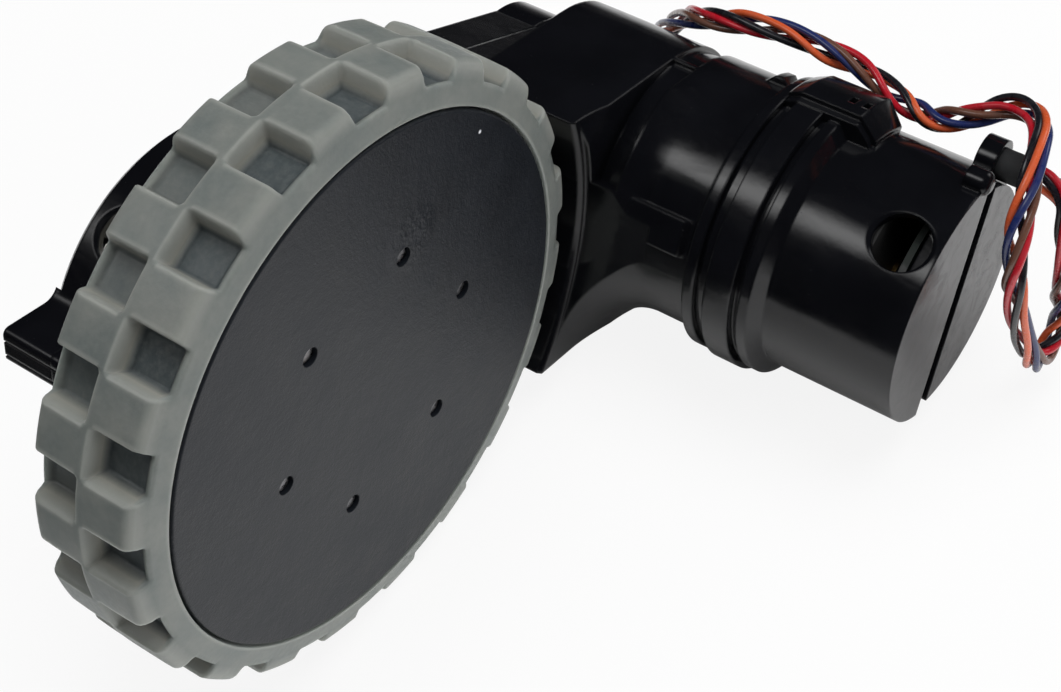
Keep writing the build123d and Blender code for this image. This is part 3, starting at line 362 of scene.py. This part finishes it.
def ring_profile():
    """(depth, radius or None on the tread) once round the section, evenly fine on the tread."""
    tread = []
    for index in range(TREAD_STEPS + 1):
        tread.append((TYRE_FRONT + (TYRE_BACK - TYRE_FRONT) * (index / TREAD_STEPS), None))
    before = [(LIP_FRONT + 0.03, LIP_R + 0.12), (LIP_FRONT + 0.12, LIP_R + 0.5), (LIP_FRONT + 0.3, 32.5),
              (LIP_FRONT + 0.46, 33.3)]
    after = [(TYRE_BACK, 33.2), (TYRE_BACK, 31.5), (TYRE_BACK, SEAT_R + 0.1), (TYRE_BACK - 0.1, SEAT_R)]
    inside = [(LIP_DEPTH, SEAT_R), (LIP_DEPTH, LIP_R), (LIP_FRONT + 0.15, LIP_R)]
    return before + tread + after + inside


def tyre():
    """The moulded tyre, with how thin it is, the painted light on its block walls and the painted highlight on
    its edges as attributes for its material.
    """
    profile = ring_profile()
    points, radii, thin, painted_wall_light, edge = [], [], [], [], []
    for index in range(AROUND):
        angle = 360 * index / AROUND
        ray_x, ray_z = cos(radians(angle)), sin(radians(angle))
        for depth, radius in profile:
            r = tread_r(depth, angle) if radius is None else radius
            radii.append(r)
            if radius is None:
                r -= 0.05 * (0.5 + 0.5 * noise.noise(Vector((ray_x * r, depth, ray_z * r)) * 0.35))
            points.append(row(WHEEL_X + r * ray_x, depth, r * ray_z))
            low = (TYRE_R - r) / (TYRE_R - POCKET_R)
            inner = radius is None and BAND_WIDTH < depth - TYRE_FRONT < TYRE_BACK - TYRE_FRONT - BAND_WIDTH
            dark = 1.0 if depth < (TYRE_FRONT + TYRE_BACK) / 2 else 0.5
            thin.append(dark * ease((low - 0.72) / 0.26) if inner else 0.0)
            # where the painted light on the block walls goes
            painted_wall_light.append(ease((low - 0.12) / 0.3) * ease((1.0 - low) / 0.25) if inner else 0.0)
            # painted highlight: strong on the lip's front edge, faint on the rest of the section off the tread
            edge.append(0.0 if radius is None else (0.9 if depth < 0.1 else 0.15))
    across = len(profile)
    faces = []
    for i in range(AROUND):
        for j in range(across):
            a, b = i * across, (i + 1) % AROUND * across
            k = (j + 1) % across
            faces.append((a + j, a + k, b + k, b + j))
    # painted highlight along the top edges of the blocks
    for i in range(AROUND):
        ahead, behind = (i + PAINTED_HIGHLIGHT_STEPS) % AROUND * across, (i - PAINTED_HIGHLIGHT_STEPS) % AROUND * across
        for j, (depth, radius) in enumerate(profile):
            if radius is None:
                here = radii[i * across + j]
                low = min(radii[ahead + j], radii[behind + j],
                          radii[i * across + min(j + 2, across - 1)], radii[i * across + max(j - 2, 0)])
                if here > TYRE_R - 1.5 and here - low > 0.25:
                    edge[i * across + j] = ease((here - low) / 1.2)
    piece = make_piece("tyre_moulded", points, faces, [silicone()])
    for name, values in (("thin", thin), ("painted_wall_light", painted_wall_light), ("edge", edge)):
        piece.data.attributes.new(name, "FLOAT", "POINT").data.foreach_set("value", values)
    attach(piece, "wheel")
    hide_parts("tyre")


tyre()


# Harness: five twisted wires along the route's own smooth line

def route_line():
    """Points along the route's NURBS curve."""
    curve = bpy.data.curves.new("harness_route", "CURVE")
    curve.dimensions = "3D"
    curve.resolution_u = 24
    spline = curve.splines.new("NURBS")
    spline.points.add(len(ROUTE) - 1)
    for point, place in zip(spline.points, ROUTE):
        point.co = (*row(*place), 1.0)
    spline.order_u = 3
    spline.use_endpoint_u = True
    holder = bpy.data.objects.new("harness_route", curve)
    bpy.context.scene.collection.objects.link(holder)
    bpy.context.view_layer.update()
    mesh = bpy.data.meshes.new_from_object(holder)
    line = [vertex.co.copy() for vertex in mesh.vertices]
    bpy.data.objects.remove(holder)
    return line


def evenly(line, step):
    """The same line with points a step apart."""
    lengths = [0.0]
    for a, b in zip(line, line[1:]):
        lengths.append(lengths[-1] + (b - a).length)
    count = max(2, round(lengths[-1] / step))
    result, seat = [], 0
    for index in range(count + 1):
        goal = lengths[-1] * index / count
        while seat < len(lengths) - 2 and lengths[seat + 1] < goal:
            seat += 1
        span = lengths[seat + 1] - lengths[seat]
        result.append(line[seat].lerp(line[seat + 1], (goal - lengths[seat]) / span if span else 0.0))
    return result, lengths[-1]


def carried_frames(line):
    """Tangent and two normals at each point, carried along without twist."""
    frames, side = [], Vector((1, 0, 0))
    for index in range(len(line)):
        ahead = line[min(index + 1, len(line) - 1)] - line[max(index - 1, 0)]
        tangent = ahead.normalized()
        side = (side - tangent * side.dot(tangent)).normalized()
        frames.append((tangent, side, tangent.cross(side)))
    return frames


WIRES = [("wire_red", (0.46, 0.010, 0.022)), ("wire_black", (0.010, 0.010, 0.014)),
         ("wire_orange", (0.62, 0.100, 0.030)), ("wire_navy", (0.014, 0.024, 0.110)),
         ("wire_brown", (0.13, 0.055, 0.036))]
WIRE_R = 0.46
TWIST = 24.0           # millimetres to one full turn
FAN = 7.0              # the last of them, where the wires spread to the plug's ways
SIDES = 12


def harness():
    """Five wires twisted round the route, spreading to the plug's ways at the end."""
    line, length = evenly(route_line(), 0.45 * MM)
    frames = carried_frames(line)
    count = len(line)
    points, faces, picks = [], [], []
    for wire in range(len(WIRES)):
        start = len(points)
        centres = []
        for index in range(count):
            share = index / (count - 1)
            along = share * length / MM
            _, side, other = frames[index]
            common = noise.noise(Vector((along * 0.045, 2.2, 6.1)))
            sway = noise.noise(Vector((along * 0.08, wire * 3.7, 0.3)))
            loose = noise.noise(Vector((along * 0.10, wire * 5.3, 8.1)))
            turn = 2 * pi * (along / TWIST + wire / len(WIRES)) + 0.8 * sway + 2.5 * common
            out = (CABLE_D / 2 - WIRE_R) * (0.98 + 0.45 * loose)
            offset = (side * cos(turn) + other * sin(turn)) * out * MM
            way = Vector(((wire - (len(WIRES) - 1) / 2) * PLUG_WIDTH / (PLUG_WAYS + 1) * MM, 0, 0))
            offset = offset.lerp(way, ease(1 - (length / MM - along) / FAN))
            centres.append(line[index] + offset)
        for index, centre in enumerate(centres):
            tangent = (centres[min(index + 1, count - 1)] - centres[max(index - 1, 0)]).normalized()
            side = frames[index][1]
            side = (side - tangent * side.dot(tangent)).normalized()
            other = tangent.cross(side)
            for corner in range(SIDES):
                turn = 2 * pi * corner / SIDES
                points.append(centre + (side * cos(turn) + other * sin(turn)) * WIRE_R * MM)
        for index in range(count - 1):
            for corner in range(SIDES):
                a, b = start + index * SIDES, start + (index + 1) * SIDES
                c = (corner + 1) % SIDES
                faces.append((a + corner, a + c, b + c, b + corner))
                picks.append(wire)
        faces.append(tuple(start + corner for corner in reversed(range(SIDES))))
        faces.append(tuple(start + (count - 1) * SIDES + corner for corner in range(SIDES)))
        picks += [wire, wire]
    looks = [insulation(name, colour) for name, colour in WIRES]
    piece = make_piece("harness_wires", points, faces, looks, picks)
    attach(piece, "housing")
    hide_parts("harness")


harness()


# Floor, light and camera

def paint(tree, kind, **settings):
    """A new node with its settings."""
    made = tree.nodes.new(kind)
    for key, value in settings.items():
        setattr(made, key, value)
    return made


def times(tree, first, second):
    """The product of a socket and a second one, or a number."""
    made = paint(tree, "ShaderNodeMath", operation="MULTIPLY")
    tree.links.new(first, made.inputs[0])
    if isinstance(second, bpy.types.NodeSocket):
        tree.links.new(second, made.inputs[1])
    else:
        made.inputs[1].default_value = second
    return made.outputs[0]


FLOOR_REACH = 0.32               # metres from the middle to a side
FLOOR_WHITE = 0.88               # share of plain white that the camera sees over the lit floor
FLOOR_BOUNCE = 0.75              # light that the floor gives the object from below
SHEET_MIDDLE = (-0.02, 0.02)     # the pale sheet that gloss sees
SHEET_FADE = (0.09, 0.15)        # and where it fades out
SHEET_PALE, SHEET_DARK = (0.86, 0.86, 0.86, 1), (0.03, 0.03, 0.03, 1)


def pale_floor():
    """Floor that is white with the object's shadow to the camera, and a small pale sheet to gloss."""
    low = cad_box[0][2]
    corners = [(-FLOOR_REACH, -FLOOR_REACH, low), (FLOOR_REACH, -FLOOR_REACH, low),
               (FLOOR_REACH, FLOOR_REACH, low), (-FLOOR_REACH, FLOOR_REACH, low)]
    piece = make_piece("floor", corners, [(0, 1, 2, 3)], [], None, False)
    material = bpy.data.materials.new("floor_white")
    material.use_nodes = True
    tree = material.node_tree
    shader = tree.nodes["Principled BSDF"]
    shader.inputs["Roughness"].default_value = 0.9
    shader.inputs["Specular IOR Level"].default_value = 0.0
    glow = paint(tree, "ShaderNodeEmission")
    mixer = paint(tree, "ShaderNodeMixShader")
    rays = paint(tree, "ShaderNodeLightPath")
    tree.links.new(times(tree, rays.outputs["Is Camera Ray"], FLOOR_WHITE), mixer.inputs[0])
    tree.links.new(shader.outputs[0], mixer.inputs[1])
    tree.links.new(glow.outputs[0], mixer.inputs[2])
    bounce = paint(tree, "ShaderNodeEmission")
    tree.links.new(times(tree, rays.outputs["Is Diffuse Ray"], FLOOR_BOUNCE), bounce.inputs["Strength"])
    total = paint(tree, "ShaderNodeAddShader")
    tree.links.new(mixer.outputs[0], total.inputs[0])
    tree.links.new(bounce.outputs[0], total.inputs[1])
    tree.links.new(total.outputs[0], tree.nodes["Material Output"].inputs["Surface"])
    away = paint(tree, "ShaderNodeVectorMath", operation="DISTANCE")
    away.inputs[1].default_value = (*SHEET_MIDDLE, low)
    tree.links.new(paint(tree, "ShaderNodeTexCoord").outputs["Object"], away.inputs[0])
    fade = paint(tree, "ShaderNodeMapRange", interpolation_type="SMOOTHSTEP")
    fade.inputs[1].default_value, fade.inputs[2].default_value = SHEET_FADE
    tree.links.new(away.outputs["Value"], fade.inputs[0])
    dim = paint(tree, "ShaderNodeMix", data_type="RGBA")
    dim.inputs[6].default_value, dim.inputs[7].default_value = SHEET_PALE, SHEET_DARK
    tree.links.new(times(tree, rays.outputs["Is Glossy Ray"], fade.outputs[0]), dim.inputs[0])
    tree.links.new(dim.outputs[2], shader.inputs["Base Color"])
    piece.data.materials.append(material)


def lobe(tree, ray, towards, across, spreads, strength):
    """Soft spot of light round a direction, with a spread across it and one along it."""
    middle = Vector(towards).normalized()
    first = Vector(across)
    first = (first - middle * first.dot(middle)).normalized()
    second = middle.cross(first)
    off = paint(tree, "ShaderNodeVectorMath", operation="SUBTRACT")
    off.inputs[1].default_value = middle
    tree.links.new(ray, off.inputs[0])
    parts = paint(tree, "ShaderNodeCombineXYZ")
    for index, (axis, spread) in enumerate(zip((first, second, middle), (*spreads, LOBE_LENGTH))):
        share = paint(tree, "ShaderNodeVectorMath", operation="DOT_PRODUCT")
        share.inputs[1].default_value = axis / spread
        tree.links.new(off.outputs[0], share.inputs[0])
        tree.links.new(share.outputs["Value"], parts.inputs[index])
    far = paint(tree, "ShaderNodeVectorMath", operation="LENGTH")
    tree.links.new(parts.outputs[0], far.inputs[0])
    fade = paint(tree, "ShaderNodeMapRange", interpolation_type="SMOOTHERSTEP")
    fade.inputs[2].default_value, fade.inputs[1].default_value = 0.0, 1.0
    fade.inputs[4].default_value = strength
    tree.links.new(far.outputs["Value"], fade.inputs[0])
    return fade.outputs[0]


LOBES = [       # direction, direction across, spreads, strength
    ((-0.33, 0.35, 0.87), (1, 0, 0.4), (0.28, 0.60), 3.2),       # streak along the tube
    ((-0.33, 0.35, 0.87), (1, 0, 0.4), (0.60, 0.80), 0.045),     # and its soft surround
    ((0.84, -0.30, 0.43), (0, 0, 1), (0.42, 0.42), 1.8),         # bright lines along the gusset's edges
]
LOBE_LENGTH = 0.8                # spread of every spot along its own direction
HORIZON = (0.05, -0.12)          # heights between which the room's glow grows
ROOM_GLOW = (0.0015, 0.006)      # above and below them
AMBIENT = 0.18                   # even light on matt surfaces


def studio():
    """White to the camera; to everything else a dim room with soft lights."""
    world = bpy.data.worlds.new("studio")
    bpy.context.scene.world = world
    world.use_nodes = True
    tree = world.node_tree
    back = tree.nodes["Background"]
    back.inputs["Color"].default_value = (1, 1, 1, 1)
    ray = paint(tree, "ShaderNodeTexCoord").outputs["Generated"]
    rays = paint(tree, "ShaderNodeLightPath")
    split = paint(tree, "ShaderNodeSeparateXYZ")
    tree.links.new(ray, split.inputs[0])
    glow = paint(tree, "ShaderNodeMapRange", interpolation_type="SMOOTHSTEP")
    glow.inputs[1].default_value, glow.inputs[2].default_value = HORIZON
    glow.inputs[3].default_value, glow.inputs[4].default_value = ROOM_GLOW
    tree.links.new(split.outputs["Z"], glow.inputs[0])
    total = glow.outputs[0]
    for part in [lobe(tree, ray, *values) for values in LOBES]:
        adder = paint(tree, "ShaderNodeMath", operation="ADD")
        tree.links.new(total, adder.inputs[0])
        tree.links.new(part, adder.inputs[1])
        total = adder.outputs[0]
    diffuse = paint(tree, "ShaderNodeMix")
    diffuse.inputs[3].default_value = AMBIENT
    tree.links.new(rays.outputs["Is Diffuse Ray"], diffuse.inputs[0])
    tree.links.new(total, diffuse.inputs[2])
    seen = paint(tree, "ShaderNodeMix")
    seen.inputs[3].default_value = 1.0
    tree.links.new(rays.outputs["Is Camera Ray"], seen.inputs[0])
    tree.links.new(diffuse.outputs[0], seen.inputs[2])
    tree.links.new(seen.outputs[0], back.inputs["Strength"])


def lamp(name, towards, distance, size, power):
    """Soft box on a line from the object's middle, unseen in gloss."""
    middle = Vector((-0.02, 0.01, 0.01))
    data = bpy.data.lights.new(name, "AREA")
    data.shape = "RECTANGLE"
    data.size, data.size_y = size
    data.energy = power
    holder = bpy.data.objects.new(name, data)
    holder.location = middle + Vector(towards).normalized() * distance
    holder.rotation_euler = (middle - holder.location).to_track_quat("-Z", "Y").to_euler()
    holder.visible_glossy = False
    bpy.context.scene.collection.objects.link(holder)


def camera():
    """The photograph's camera, from a fit to the cover's edge, its holes and the tube."""
    right = Vector((0.570935, -0.810839, -0.128733)).normalized()
    ahead = Vector((0.405743, 0.414986, -0.814346))
    ahead = (ahead - right * ahead.dot(right)).normalized()
    up = right.cross(ahead)
    data = bpy.data.cameras.new("photo_camera")
    data.sensor_width = 36.0
    data.lens = 1969.34 / 1061 * 36.0
    data.clip_start = 0.01
    holder = bpy.data.objects.new("photo_camera", data)
    turn = Matrix((right, up, -ahead)).transposed().to_4x4()
    holder.matrix_world = Matrix.Translation(Vector((-0.123972, -0.068934, 0.188478))) @ turn
    bpy.context.scene.collection.objects.link(holder)
    bpy.context.scene.camera = holder


pale_floor()
studio()
lamp("overhead", (0.25, -0.1, 1.0), 1.1, (0.9, 0.7), 10.0)
lamp("low_fill", (0.1, -1.0, 0.35), 0.6, (0.5, 0.3), 0.9)
camera()
bpy.context.scene.view_settings.view_transform = "Standard"
